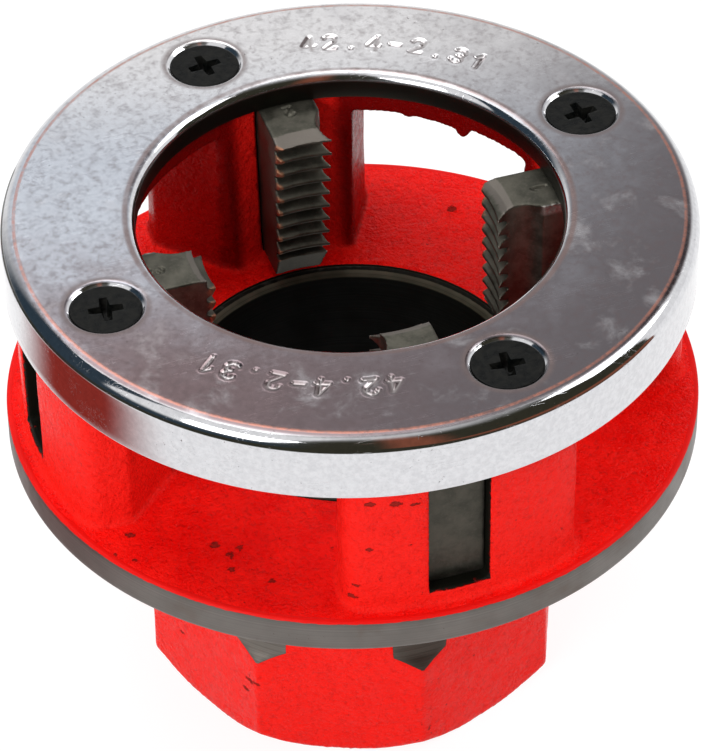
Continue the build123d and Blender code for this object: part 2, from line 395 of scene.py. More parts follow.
def remap(tree, value, low, high, to_low=0.0, to_high=1.0):
    """A value moved smoothly from one range to another, held at the ends."""
    inputs = {"Value": value, "From Min": low, "From Max": high, "To Min": to_low, "To Max": to_high}
    return add_node(tree, "MapRange", inputs, interpolation_type="SMOOTHSTEP").outputs[0]


def blend(tree, amount, a, b):
    return add_node(tree, "Mix", {0: amount, 2: a, 3: b}, data_type="FLOAT").outputs[0]


def tint(tree, amount, a, b):
    """A colour between two, each three numbers or another node's output."""
    a, b = (c if isinstance(c, bpy.types.NodeSocket) else (*c, 1.0) for c in (a, b))
    return add_node(tree, "Mix", {0: amount, 6: a, 7: b}, data_type="RGBA").outputs[2]


def layered(tree, colour, *layers):
    """A colour with others laid over it in turn, each given with its amount."""
    for amount, over in layers:
        colour = tint(tree, amount, colour, over)
    return colour


def band(tree, value, middle, rise, fall):
    """1 between a rise and a fall, each from one distance off the middle to another."""
    ends = (remap(tree, value, middle + low, middle + high) for low, high in (rise, fall))
    return times(tree, *ends)


def place_on(tree):
    """Place on the object, in metres."""
    return add_node(tree, "TexCoord").outputs["Object"]


def place_in_mm(tree, stretch=(1.0, 1.0, 1.0), turn=(0.0, 0.0, 0.0)):
    """Place on the object in millimetres, so every pattern keeps its real size."""
    inputs = {"Vector": place_on(tree), "Rotation": turn, "Scale": tuple(s / MM for s in stretch)}
    return add_node(tree, "Mapping", inputs).outputs[0]


def grain(tree, where, size, detail=3.0, roughness=0.55, distortion=0.0):
    """Noise with features of about the given size, in the units of where."""
    inputs = {"Vector": where, "Scale": 1.0 / size, "Detail": detail, "Roughness": roughness,
              "Distortion": distortion}
    return add_node(tree, "TexNoise", inputs).outputs[0]


def towards(tree, where, direction):
    """Distance along a direction, in the units of where."""
    return vector_calc(tree, "DOT_PRODUCT", where, direction)[1]


def height_of(tree, where):
    """Height, in the units of where."""
    return add_node(tree, "SeparateXYZ", {0: where}).outputs[2]


def across_axis(tree, where):
    """Distance from the head's axis, in the units of where."""
    flat = vector_calc(tree, "MULTIPLY", where, (1.0, 1.0, 0.0))[0]
    return vector_calc(tree, "LENGTH", flat)[1]


def mask(tree, name):
    """One of the numbers kept per point."""
    return add_node(tree, "Attribute", attribute_name=name).outputs["Fac"]


def new_group(name, inputs, result):
    """A new group of nodes; returns its tree, its inputs and its end node."""
    tree = bpy.data.node_groups.new(name, "ShaderNodeTree")
    for label, value in inputs.items():
        socket = tree.interface.new_socket(label, in_out="INPUT", socket_type="NodeSocketFloat")
        socket.default_value = value
    tree.interface.new_socket(result, in_out="OUTPUT", socket_type="NodeSocketFloat")
    return tree, tree.nodes.new("NodeGroupInput").outputs, tree.nodes.new("NodeGroupOutput")


def effect(tree, name, **inputs):
    """The value of a shared group of nodes, with a finish's own inputs."""
    return add_node(tree, "Group", inputs, node_tree=bpy.data.node_groups[name]).outputs[0]


def new_surface(name):
    """An empty material; returns it, its tree and the socket for its surface."""
    finish = bpy.data.materials.new(name)
    finish.use_nodes = True
    tree = finish.node_tree
    tree.nodes.clear()
    return finish, tree, add_node(tree, "OutputMaterial").inputs["Surface"]


def specks_group():
    """Small sharp spots: pits, splashes of dirt or chips."""
    tree, given, end = new_group("specks", {"Size": 1.0, "Amount": 0.3}, "Mask")
    where = place_in_mm(tree)
    scale = calc(tree, "DIVIDE", 1.0, given["Size"])
    inputs = {"Vector": where, "Scale": scale, "Detail": 4.0, "Roughness": 0.62}
    fine = add_node(tree, "TexNoise", inputs).outputs[0]
    level = plus(tree, fine, sway(tree, grain(tree, where, 9.0, 1.0), 0.25))
    start = minus(tree, 0.78, times(tree, given["Amount"], 0.22))
    fill(tree, end, {"Mask": remap(tree, level, start, plus(tree, start, 0.03))})


def scratches_group():
    """Hairline scratches in three directions, where handling has left them."""
    tree, given, end = new_group("scratches", {"Amount": 0.5, "Width": 0.01}, "Mask")
    total = 0.0
    for turn, sparse in ((0.35, 0.55), (1.4, 0.58), (2.5, 0.6)):
        where = place_in_mm(tree, (0.03, 0.9, 0.9), (0.0, 0.0, turn))
        line = calc(tree, "ABSOLUTE", minus(tree, grain(tree, where, 1.0, 2.0), 0.5))
        thin = remap(tree, line, given["Width"], 0.0)
        patch = remap(tree, grain(tree, place_in_mm(tree), 7.0 + turn, 1.0), sparse, sparse + 0.08)
        total = greater(tree, total, times(tree, thin, patch))
    fill(tree, end, {"Mask": times(tree, total, given["Amount"])})


def turning_group():
    """Fine rings left by turning, as a value about a half."""
    tree, given, end = new_group("turning", {"Pitch": 0.25}, "Value")
    where = place_in_mm(tree)
    measures = {0: across_axis(tree, where), 1: height_of(tree, where)}
    turns = {key: calc(tree, "DIVIDE", measure, given["Pitch"]) for key, measure in measures.items()}
    step = add_node(tree, "CombineXYZ", turns).outputs[0]
    broken = remap(tree, grain(tree, where, 5.0, 2.0), 0.2, 0.8, 0.7, 1.1)
    fill(tree, end, {"Value": times(tree, grain(tree, step, 1.0, 2.0, 0.5), broken)})


def wear_group():
    """Lighter outer edges, broken up by noise: partly rubbed through, partly painted highlight."""
    tree, given, end = new_group("edge_wear_and_glint", {"Start": 0.05, "Amount": 1.0}, "Mask")
    ragged = sway(tree, grain(tree, place_in_mm(tree), 0.9, 4.0), 0.12)
    level = plus(tree, mask(tree, "edge"), ragged)
    worn = remap(tree, level, given["Start"], plus(tree, given["Start"], 0.05))
    fill(tree, end, {"Mask": calc(tree, "MULTIPLY", worn, given["Amount"], clamp=True)})


def new_finish(name):
    """A new material; returns it, its tree, its shader and the place on it."""
    finish, tree, surface = new_surface(name)
    shader = add_node(tree, "BsdfPrincipled")
    tree.links.new(shader.outputs[0], surface)
    return finish, tree, shader, place_in_mm(tree)


def set_bump(tree, shader, height, distance, strength):
    """Bump from a height value; distance is in millimetres."""
    inputs = {"Height": height, "Strength": strength, "Distance": distance * MM}
    fill(tree, shader, {"Normal": add_node(tree, "Bump", inputs).outputs[0]})


SPOT_STRETCH = (0.75, 0.75, 1.5)


def spots(tree, where, places, ragged):
    """Distance inside the nearest of some spots, each a place and a size in millimetres."""
    nearest = -FAR
    for x, y, z, size in places:
        apart = vector_calc(tree, "SUBTRACT", where, (x, y, z))[0]
        apart = vector_calc(tree, "MULTIPLY", apart, SPOT_STRETCH)[0]
        away = vector_calc(tree, "LENGTH", apart)[1]
        nearest = greater(tree, nearest, minus(tree, size, away))
    return plus(tree, nearest, sway(tree, grain(tree, where, 0.7, 5.0, 0.7), ragged))


def screw_place(number, height=0.0):
    """A place on the axis of a cover screw, from 1 to 4, in millimetres."""
    bearing = radians(90 * (number - 1) + SCREW_ANGLE)
    return SCREW_CIRCLE * cos(bearing), SCREW_CIRCLE * sin(bearing), height


# Directions over the head: its front is the side where the lower row of figures is upside down.
TO_RIGHT = (0.9532, -0.3024, 0.0)
TO_FRONT = (-0.3024, -0.9532, 0.0)
PAINT_CHIPS = [
    (-13.8, -39.8, 45.3, 0.35), (-13.6, -38.3, 45.8, 0.3), (-13.5, -41.8, 46.2, 0.6),
    (-13.2, -42.3, 48.3, 0.4), (-36.9, -19.7, 44.0, 0.35), (-39.8, -22.7, 44.0, 0.3),
    (-37.6, -24.4, 44.0, 0.2), (-25.7, -27.5, 44.0, 0.35), (-6.5, -44.1, 54.9, 0.15),
    (-11.7, -43.0, 54.7, 0.3), (-11.6, -43.0, 62.6, 0.5), (-8.5, -43.8, 62.3, 0.6),
    (-6.1, -44.2, 61.9, 0.4), (-21.5, -19.5, 11.8, 0.5), (-21.9, -18.7, 9.5, 0.35),
    (-21.0, -20.7, 12.0, 0.3), (-27.0, -25.1, 44.0, 0.45), (-24.1, -26.7, 44.0, 0.3),
    (-26.3, -30.2, 44.0, 0.35), (-22.0, -33.8, 44.0, 0.25), (24.6, 29.4, 44.3, 0.5),
    (8.5, -26.1, 13.0, 0.25), (-27.2, -5.8, 9.9, 0.3),
]


def red_paint():
    """Gloss red enamel over the rough casting, worn bare where the casting is machined."""
    finish, tree, shader, where = new_finish("red_paint")
    ragged = sway(tree, grain(tree, where, 0.8, 4.0), 0.22)
    bare = remap(tree, plus(tree, mask(tree, "bare"), ragged), -0.03, 0.04)
    chip = remap(tree, spots(tree, where, PAINT_CHIPS, 1.7), -0.05, 0.12)
    pits = effect(tree, "specks", Size=0.6, Amount=0.33)
    cast = grain(tree, where, 0.9, 5.0, 0.65)
    tone = grain(tree, where, 5.0, 3.0)
    red = tint(tree, remap(tree, tone, 0.3, 0.7), (0.90, 0.0045, 0.003), (1.0, 0.010, 0.006))
    upward = mask(tree, "upward")
    # painted sheen: faces that do not face up get a pinker red in place of a white gloss reflection
    red = tint(tree, upward, tint(tree, 0.6, red, (1.0, 0.021, 0.014)), red)
    hollow = times(tree, remap(tree, cast, 0.49, 0.32), blend(tree, upward, 0.32, 0.45))
    red = layered(
        tree, red,
        (hollow, (0.52, 0.004, 0.003)),
        # painted shade: the red is darkened inside the head, under the plate
        (mask(tree, "inner"), (0.20, 0.0008, 0.0006)),
        (times(tree, pits, 0.7), (0.16, 0.006, 0.004)),
        (times(tree, chip, 0.7), (0.055, 0.018, 0.012)))
    turned = effect(tree, "turning", Pitch=0.3)
    steel = tint(tree, turned, (0.07, 0.065, 0.055), (0.30, 0.28, 0.25))
    # painted shade: the bare steel is darker towards the right
    painted_right_shade = remap(tree, towards(tree, where, TO_RIGHT), -2.0, 8.0, 0.0, 0.7)
    # painted shade: bare steel inside the slots and the bore is near black, with no metal shine
    recess_shade = mask(tree, "recess_shade")
    steel = layered(tree, steel, (painted_right_shade, (0.030, 0.016, 0.010)), (recess_shade, (0.006, 0.006, 0.004)))
    rough = blend(tree, chip, remap(tree, grain(tree, where, 2.5, 4.0), 0.3, 0.7, 0.18, 0.36), 0.8)
    shown_steel = times(tree, bare, minus(tree, 1.0, recess_shade))
    fill(tree, shader, {
        "Base Color": tint(tree, bare, red, steel), "Roughness": blend(tree, bare, rough, 0.5),
        "Metallic": times(tree, shown_steel, 0.85), "Specular IOR Level": 0.055})
    ripple = plus(tree, times(tree, grain(tree, where, 1.5, 3.0), 0.6), times(tree, cast, 0.35))
    ripple = plus(tree, ripple, times(tree, grain(tree, where, 0.45, 3.0), 0.28))
    paint_height = minus(tree, ripple, times(tree, greater(tree, chip, pits), 0.5))
    height = blend(tree, bare, paint_height, times(tree, turned, 0.12))
    set_bump(tree, shader, height, 0.6, 1.0)
    return finish


def machined_rim():
    """Turned steel of the flange's rim: grey, with fine rings, dirt and faint rust."""
    finish, tree, shader, where = new_finish("machined_rim")
    turned = effect(tree, "turning", Pitch=0.11)
    cloud = grain(tree, where, 6.0, 5.0, 0.6)
    rings = remap(tree, turned, 0.25, 0.75)
    steel = tint(tree, rings, (0.150, 0.137, 0.126), (0.205, 0.186, 0.172))
    steel = tint(tree, remap(tree, cloud, 0.5, 0.8, 0.0, 0.5), steel, (0.15, 0.105, 0.08))
    marks = effect(tree, "specks", Size=0.7, Amount=0.34)
    steel = tint(tree, times(tree, marks, 0.6), steel, (0.05, 0.035, 0.03))
    ragged = sway(tree, grain(tree, where, 1.2, 4.0), 0.35)
    to_back = remap(tree, towards(tree, where, TO_FRONT), -14.0, -22.0)
    line = blend(tree, to_back, FLANGE_TOP - 0.34, FLANGE_TOP - 0.7)
    over = remap(tree, minus(tree, plus(tree, height_of(tree, where), ragged), line), -0.03, 0.05)
    fill(tree, shader, {
        "Base Color": tint(tree, over, steel, (0.80, 0.006, 0.004)),
        "Roughness": remap(tree, cloud, 0.3, 0.7, 0.38, 0.5),
        "Metallic": blend(tree, over, 0.85, 0.0), "Specular IOR Level": 0.1})
    set_bump(tree, shader, turned, 0.02, 0.45)
    return finish


def oily_bore():
    """Turned bore painted near black deeper down as painted shade, lighter olive on the chamfer at its
    mouth.
    """
    finish, tree, shader, where = new_finish("oily_bore")
    turned = effect(tree, "turning", Pitch=0.3)
    high = height_of(tree, where)
    mouth = remap(tree, high, FLANGE_TOP - 1.35, FLANGE_TOP - 1.0)
    lip = remap(tree, high, FLANGE_TOP - 0.36, FLANGE_TOP - 0.26)
    dark = tint(tree, turned, (0.0015, 0.0018, 0.0014), (0.008, 0.008, 0.006))
    rings = remap(tree, turned, 0.3, 0.7)
    olive = tint(tree, rings, (0.030, 0.030, 0.020), (0.105, 0.098, 0.070))
    shade = tint(tree, mouth, dark, olive)
    fill(tree, shader, {
        "Base Color": tint(tree, lip, shade, (0.010, 0.009, 0.006)),
        "Roughness": remap(tree, grain(tree, where, 4.0), 0.3, 0.7, 0.4, 0.6),
        "Specular IOR Level": 0.04})
    set_bump(tree, shader, turned, 0.05, 0.7)
    return finish


def worn_chrome():
    """Plated cover: bright rim and skirt, duller top that is browner towards the front, with painted
    reflection: lighter at the back, darker grey to the right and front.
    """
    finish, tree, shader, where = new_finish("worn_chrome")
    high = height_of(tree, where)
    out = across_axis(tree, where)
    right = towards(tree, where, TO_RIGHT)
    front = towards(tree, where, TO_FRONT)
    top = remap(tree, high, PLATE_TOP - 0.4, PLATE_TOP - 0.12)
    cloud = grain(tree, where, 6.0, 5.0, 0.6, 0.3)
    mottle = grain(tree, where, 1.6, 6.0, 0.7, 0.25)
    fine = grain(tree, where, 0.8, 5.0, 0.65)
    drift = sway(tree, cloud, 26.0)
    # painted reflection: the top darkens to grey towards the right and front
    dull = plus(tree, times(tree, right, 0.9), times(tree, front, 0.38))
    dull = remap(tree, plus(tree, dull, drift), -16.0, 42.0)
    brown = remap(tree, plus(tree, front, times(tree, drift, 1.2)), -2.0, 36.0)
    # painted reflection: the top is lighter towards the back
    back = remap(tree, front, -8.0, -38.0)
    plate = tint(tree, back, (0.50, 0.53, 0.59), (0.70, 0.69, 0.70))
    rims = FAR
    for number in (1, 2, 3, 4):
        away = vector_calc(tree, "DISTANCE", where, screw_place(number, PLATE_TOP))[1]
        rims = calc(tree, "MINIMUM", rims, away)
    grime = band(tree, rims, COUNTERSINK, (1.1, 0.25), (-0.05, 0.2))
    plate = layered(
        tree, plate,
        (times(tree, brown, 0.95), (0.160, 0.105, 0.108)),
        (dull, (0.118, 0.106, 0.114)),
        (remap(tree, cloud, 0.52, 0.74, 0.0, 0.35), (0.56, 0.55, 0.57)),
        (remap(tree, mottle, 0.56, 0.26, 0.0, 0.34), (0.13, 0.10, 0.105)),
        (times(tree, grime, remap(tree, fine, 0.25, 0.6, 0.35, 0.75)), (0.17, 0.13, 0.125)),
        (remap(tree, fine, 0.52, 0.28, 0.0, 0.22), (0.15, 0.11, 0.11)))
    bright = tint(tree, remap(tree, fine, 0.3, 0.7), (0.60, 0.60, 0.62), (0.70, 0.70, 0.72))
    hole_edge = band(tree, out, PLATE_HOLE, (1.9, 1.4), (0.8, 1.1))
    copper = band(tree, out, PLATE_RADIUS, (-2.25, -2.0), (-1.6, -1.8))
    copper = times(tree, copper, remap(tree, high, PLATE_TOP - 0.9, PLATE_TOP - 0.6))
    copper = times(tree, copper, remap(tree, fine, 0.3, 0.6, 0.3, 1.0))
    pits = effect(tree, "specks", Size=0.45, Amount=0.36)
    wall = times(tree, remap(tree, out, PLATE_HOLE + 0.35, PLATE_HOLE + 0.15),
                 remap(tree, high, PLATE_TOP - 0.7, PLATE_TOP - 1.3))
    plate = layered(
        tree, tint(tree, top, bright, plate),
        (times(tree, hole_edge, remap(tree, cloud, 0.3, 0.6, 0.35, 0.75)), (0.20, 0.135, 0.125)),
        (times(tree, copper, 0.7), (0.42, 0.17, 0.12)),
        (times(tree, pits, 0.75), (0.05, 0.035, 0.035)),
        (times(tree, mask(tree, "groove"), 0.5), (0.21, 0.165, 0.155)),
        (wall, (0.035, 0.035, 0.028)))
    hair = effect(tree, "scratches", Amount=0.55, Width=0.009)
    rough = blend(tree, top, 0.07, remap(tree, fine, 0.3, 0.7, 0.17, 0.27))
    rough = plus(tree, rough, times(tree, hair, 0.12))
    fill(tree, shader, {
        "Base Color": plate, "Roughness": blend(tree, wall, rough, 0.45), "Metallic": 1.0})
    wave = plus(tree, grain(tree, where, 2.2, 2.0), times(tree, fine, 0.3))
    wave = times(tree, wave, blend(tree, top, 0.15, 1.0))
    height = minus(tree, minus(tree, wave, times(tree, hair, 0.2)), times(tree, pits, 0.3))
    set_bump(tree, shader, height, 0.05, 0.5)
    return finish


def chaser_steel():
    """Hardened steel with a dark olive oxide, lighter where it has been ground or rubbed, and painted
    lighter along its edges as a highlight.
    """
    finish, tree, shader, where = new_finish("chaser_steel")
    cloud = grain(tree, where, 2.4, 5.0, 0.6)
    fine = grain(tree, where, 0.45, 4.0, 0.65)
    patches = remap(tree, cloud, 0.3, 0.7)
    oxide = tint(tree, patches, (0.045, 0.044, 0.034), (0.095, 0.090, 0.072))
    heel = times(tree, mask(tree, "heel"), remap(tree, fine, 0.3, 0.6, 0.5, 1.0))
    broken = times(tree, mask(tree, "broken"), remap(tree, fine, 0.3, 0.6, 0.6, 1.0))
    oxide = layered(
        tree, oxide,
        (remap(tree, fine, 0.5, 0.75, 0.0, 0.4), (0.13, 0.11, 0.095)),
        # lighter outer edges: partly rubbed steel, partly painted highlight
        (effect(tree, "edge_wear_and_glint", Start=0.2, Amount=0.7), (0.26, 0.24, 0.21)),
        (times(tree, mask(tree, "bevel"), 0.7), (0.135, 0.118, 0.105)),
        (heel, (0.27, 0.125, 0.070)),
        (times(tree, effect(tree, "specks", Size=0.35, Amount=0.32), 0.6), (0.045, 0.025, 0.016)),
        (broken, (0.32, 0.30, 0.28)))
    fill(tree, shader, {
        "Base Color": oxide, "Roughness": remap(tree, cloud, 0.25, 0.75, 0.36, 0.52),
        "Metallic": 0.8, "Specular IOR Level": 0.3})
    ground = grain(tree, place_in_mm(tree, (1.0, 1.0, 0.08)), 0.14, 2.0)
    height = plus(tree, times(tree, fine, 0.7), times(tree, ground, 0.4))
    set_bump(tree, shader, height, 0.035, 0.6)
    return finish


def black_oxide():
    """Blackened screws with a slight oily sheen."""
    finish, tree, shader, where = new_finish("black_screw")
    cloud = grain(tree, where, 1.0, 4.0)
    patches = remap(tree, cloud, 0.35, 0.7)
    black = tint(tree, patches, (0.0015, 0.002, 0.002), (0.007, 0.007, 0.006))
    # painted highlight: the heads' outer edges are lighter, broken up by noise
    edge_glint = effect(tree, "edge_wear_and_glint", Start=0.16, Amount=0.4)
    fill(tree, shader, {
        "Base Color": tint(tree, edge_glint, black, (0.08, 0.08, 0.078)),
        "Roughness": remap(tree, cloud, 0.3, 0.7, 0.26, 0.42), "Specular IOR Level": 0.08})
    set_bump(tree, shader, grain(tree, where, 0.5, 3.0), 0.08, 0.8)
    return finish


# --- Body casting ---
SKIN_VOXEL = 0.42
SKIN_SMOOTHING = 4
SKIN_KEPT = 0.36
RIM_INNER = 44.8
# Drips of metal under the ring: bearing, distance from the axis, lift, width and drop.
DRIPS = [(40.6, 29.5, -0.35, 1.0, 0.55), (56.0, 29.6, 0.0, 1.2, 0.35)]
# Lumps on the flange: two places and the three sizes of each.
CAST_MARKS = [(25.3, 30.4, 1.7, 1.0, 0.4), (22.4, 26.1, 0.9, 0.6, 0.3)]


def add_blob(work, centre, size, turn):
    """A rounded lump merged into the casting when it gets its skin."""
    place = Matrix.Translation(centre) @ Matrix.Rotation(turn, 4, "Z") @ Matrix.Diagonal((*size, 1.0))
    bmesh.ops.create_icosphere(work, subdivisions=3, radius=1.0, matrix=place)


def slot_side(points):
    """How far each point is beside the nearest chaser slot; negative is inside."""
    x, y = points[:, 0], points[:, 1]
    along_x = np.abs(x) > np.abs(y)
    side = np.where(along_x, y * np.sign(x), -x * np.sign(y))
    return np.abs(side - SLOT_OFFSET) - SLOT_HALF


def slot_depth(points):
    """How far each point is inside the nearest chaser slot; negative is outside."""
    above_floor = points[:, 2] - SLOT_FLOOR
    return np.minimum.reduce([-slot_side(points), above_floor, radius_of(points) - WALL_FOOT + 0.2])


def bare_depth(points):
    """How far each point is inside a machined area of the casting; negative is paint."""
    across = radius_of(points)
    z = points[:, 2]
    bore = MOUTH_RADIUS - across
    slope = (BOSS_CORNER - NECK_RADIUS) / (NECK_TOP - NECK_LOW)
    turned = np.maximum(BOSS_CORNER - (z - NECK_LOW) * slope, NECK_RADIUS)
    from_flat = np.radians(bearing_of(points) % 45.0 - 22.5)
    octagon = BOSS_CORNER * cos(pi / 8) / np.cos(from_flat)
    neck = np.minimum.reduce([3.0 * (octagon - turned) + 0.2, z - NECK_LOW, BOSS_HEIGHT - 2.5 - z,
                              across - 26.0, 31.0 - across])
    return np.maximum.reduce([slot_depth(points) + 0.08, bore, neck, 0.12 - z])


def body_casting(finish, rim_finish, bore_finish):
    """The casting as a soft painted skin, with a crisp turned rim and bore."""
    def add_lumps(work):
        for bearing, across, lift, width, drop in DRIPS:
            a = radians(bearing)
            centre = (across * cos(a), across * sin(a), RING_LOW + lift + 0.2)
            add_blob(work, centre, (0.5, width, drop + 0.4), a)
        for x, y, long, wide, high in CAST_MARKS:
            add_blob(work, (x, y, FLANGE_TOP), (long, wide, high), 0.6)

    mesh = skinned(edited(node_mesh("body_casting"), add_lumps), SKIN_VOXEL, SKIN_SMOOTHING)
    points = points_of(mesh)
    across = radius_of(points)
    paint = ramp(-bare_depth(points), -0.1, 0.6)
    lumps = noise_at(points, (0.07, 4.2, 1), (0.045, 1.7, 2), (0.05, 11.0, 3))
    points += normals_of(mesh) * (paint * lumps)[:, None]
    z = points[:, 2]
    bearing = bearing_of(points)
    angle = np.radians(bearing)
    circle = np.stack([40 * np.cos(angle), 40 * np.sin(angle), z * 0], 1)
    wave = noise_at(circle, (1.0, 5.0, 4), (0.18, 1.8, 5))
    below = RING_LOW - z
    under = (below < 1.4) & (below > -1.2) & (across < 33.0) & (across > 28.6)
    wavy = ramp(bearing, 5.0, 18.0) * ramp(-bearing, -62.0, -50.0)
    pull = np.where(under, ramp(-across, -33.0, -29.6) * ramp(below, -1.2, -0.2), 0)
    run = ramp(-bearing, -60.0, -41.0) * ramp(bearing, 37.6, 39.2)
    lift = ramp(-bearing, -38.6, -37.2) * ramp(bearing, 5.0, 15.0)
    z -= pull * (0.05 + 0.5 * run - 0.3 * lift + 0.12 * wavy * wave)
    across = radius_of(points)
    edge_line = 46.58 + noise_at(circle, (0.10, 3.0, 6), (0.05, 0.9, 7))
    at_rim = (across > 45.9) & (z < FLANGE_TOP + 0.7) & (z > BOSS_HEIGHT - 0.9)
    keep = np.where(at_rim, np.minimum(1.0, edge_line / np.maximum(across, 1)), 1.0)
    points[:, :2] *= keep[:, None]
    set_points(mesh, points)
    mesh = thinned(mesh, SKIN_KEPT)
    points = points_of(mesh)
    normals = normals_of(mesh)
    add_mask(mesh, "bare", bare_depth(points))
    across = radius_of(points)
    # Painted shade in recesses: inside the bore and the chaser slots.
    inside = ramp(-across, -MOUTH_RADIUS - 0.3, -MOUTH_RADIUS + 0.3)
    add_mask(mesh, "recess_shade", np.maximum(inside, ramp(slot_depth(points), -0.2, 0.0)))
    x, y, z = points.T
    # Painted shade inside the head: inner walls and floor under the plate are darkened, less beside the
    # slots, and the side faces of the back post more so.
    inner = ramp(-across, -30.6, -30.0) * ramp(z, FLANGE_TOP - 0.1, FLANGE_TOP + 1.0)
    inner *= 1.0 - 0.85 * ramp(-slot_side(points), -4.2, -2.0)
    back_sides = (np.abs(x) < 22.0) & (y > 24.0) & (np.abs(normals[:, 0]) > 0.45) & (across < 44.5)
    painted_back_shade = 0.8 * back_sides * ramp(z, FLANGE_TOP - 0.2, FLANGE_TOP + 0.6)
    add_mask(mesh, "inner", np.maximum(inner, painted_back_shade))
    add_mask(mesh, "upward", ramp(normals[:, 2], 0.8, 0.97))
    finish_piece("casting_skin", mesh, finish, "body_casting")
    corner = FLANGE_RADIUS - FLANGE_EDGE
    rim = [(RIM_INNER, BOSS_HEIGHT + 0.1), (45.8, BOSS_HEIGHT + 0.05), (46.1, BOSS_HEIGHT)]
    rim += round_corner((corner, BOSS_HEIGHT + FLANGE_EDGE), FLANGE_EDGE, -90, 0, 3)
    rim += [(FLANGE_RADIUS, z) for z in np.linspace(BOSS_HEIGHT + 1.0, FLANGE_TOP - 1.0, 5)]
    rim += round_corner((corner, FLANGE_TOP - FLANGE_EDGE), FLANGE_EDGE, 0, 90, 3)
    rim += [(46.1, FLANGE_TOP), (45.8, FLANGE_TOP - 0.05), (RIM_INNER, FLANGE_TOP - 0.1)]
    finish_piece("flange_rim", lathe(rim, 480), rim_finish, sharp=35)
    profile = [(r - 0.06, max(z, 0.02)) for r, z in BORE_PROFILE]
    sleeve = profile + [(r + 0.5, z - 0.25) for r, z in reversed(profile[2:])] + [(24.2, 1.4), (24.2, 0.4)]
    finish_piece("turned_bore", lathe(sleeve, 240), bore_finish, sharp=25)


# --- Cover plate ---
PLATE_FIGURES = "42.4-2.31"
FIGURE_HEIGHT = 2.9
FIGURE_PITCH = 3.02
FIGURE_RADIUS = 34.05
FIGURE_STARTS = (82.5, -97.5)
PLATE_STROKE = 0.47
PLATE_DEPTH = 0.26


def countersinks():
    """One mesh with the four countersinks, each with a slightly rolled top edge."""
    low = RING_TOP - 1.0
    profile = [(0.0, low), (2.75, low), (2.75, PLATE_TOP - COUNTERSINK + 2.75)]
    edge = ((-0.22, -0.22), (-0.06, -0.09), (0.1, -0.02), (0.32, 0.03), (0.6, 0.8))
    profile += [(COUNTERSINK + out, PLATE_TOP + up) for out, up in edge] + [(0.0, PLATE_TOP + 0.8)]

    def add_all(work):
        for number in (1, 2, 3, 4):
            one = lathe(profile, 96, closed=False)
            one.transform(Matrix.Translation(screw_place(number)))
            work.from_mesh(one)

    return edited(bpy.data.meshes.new("sinks"), add_all)


def cover_plate(finish):
    """Pressed cover with rolled edges, countersinks and two rows of punched figures."""
    web = list(np.linspace(PLATE_RADIUS - RIM_FILLET, PLATE_HOLE + HOLE_FILLET, 15))
    profile = [(45.5, SKIRT_END), (45.72, SKIRT_END + 0.08), (PLATE_RADIUS, SKIRT_END + 0.3)]
    profile += [(PLATE_RADIUS, SKIRT_END + up) for up in (1.5, 3.0, 4.5, 6.0)]
    profile += round_corner((PLATE_RADIUS - RIM_FILLET, PLATE_TOP - RIM_FILLET), RIM_FILLET, 0, 90, 12)[:-1]
    profile += [(r, PLATE_TOP) for r in web[:-1]]
    profile += round_corner((PLATE_HOLE + HOLE_FILLET, PLATE_TOP - HOLE_FILLET), HOLE_FILLET, 90, 180, 9)
    profile += [(PLATE_HOLE, RING_TOP + 0.4), (PLATE_HOLE + 0.15, RING_TOP + 0.02)]
    profile += [(SKIRT_INNER, RING_TOP + 0.02)]
    profile += [(SKIRT_INNER, SKIRT_END + 0.15), (SKIRT_INNER + 0.15, SKIRT_END)]
    mesh = cut(lathe(profile), countersinks())
    reach = degrees(FIGURE_PITCH * len(PLATE_FIGURES) / FIGURE_RADIUS)
    low_ring = FIGURE_RADIUS - 0.6
    high_ring = FIGURE_RADIUS + FIGURE_HEIGHT + 0.6

    def in_figures(p):
        across = hypot(p.x, p.y)
        if p.z < PLATE_TOP - 0.02 or not low_ring - 1 < across < high_ring + 1:
            return False
        bearing = degrees(atan2(p.y, p.x))
        return any(-2.5 < (start - bearing + 180) % 360 - 180 < reach + 2.5 for start in FIGURE_STARTS)

    refine(mesh, in_figures, 6)
    points = points_of(mesh)
    top = ramp(points[:, 2], PLATE_TOP - RIM_FILLET, PLATE_TOP - 0.05)
    points[:, 2] -= top * (0.035 + noise_at(points, (0.03, 15.0, 11), (0.008, 4.0, 12)))
    groove = np.zeros(len(points))
    across = radius_of(points)
    bearing = bearing_of(points)
    for number, start in enumerate(FIGURE_STARTS):
        lag = (start - bearing + 180) % 360 - 180
        near = (lag > -3) & (lag < reach + 3) & (points[:, 2] > PLATE_TOP - 0.2)
        near &= (across > low_ring - 0.5) & (across < high_ring + 0.5)
        u = np.radians(lag[near]) * (FIGURE_RADIUS + FIGURE_HEIGHT / 2)
        v = across[near] - FIGURE_RADIUS
        strokes = figure_segments(PLATE_FIGURES, FIGURE_HEIGHT, FIGURE_PITCH, 40 + number)
        change = stamped(u, v, strokes, PLATE_STROKE, PLATE_DEPTH)
        points[near, 2] += change
        groove[near] = np.clip(-change / 0.2, 0, 1)
    points[:, 2] = np.minimum(points[:, 2], PLATE_TOP)
    set_points(mesh, points)
    add_mask(mesh, "groove", groove)
    finish_piece("cover_plate_chromed", mesh, finish, "cover_plate", sharp=32)


# --- Chasers ---
CHASER_VOXEL = 0.17
CHASER_KEPT = 0.3
CHASER_STROKE = 0.26
CHASER_DEPTH = 0.22


def chaser_lines(points, number):
    """Distance of each point along a chaser, out from the axis, and to its side."""
    turn = radians(90 * (number - 1))
    along = points[:, 0] * cos(turn) + points[:, 1] * sin(turn)
    side = -points[:, 0] * sin(turn) + points[:, 1] * cos(turn)
    return along, side


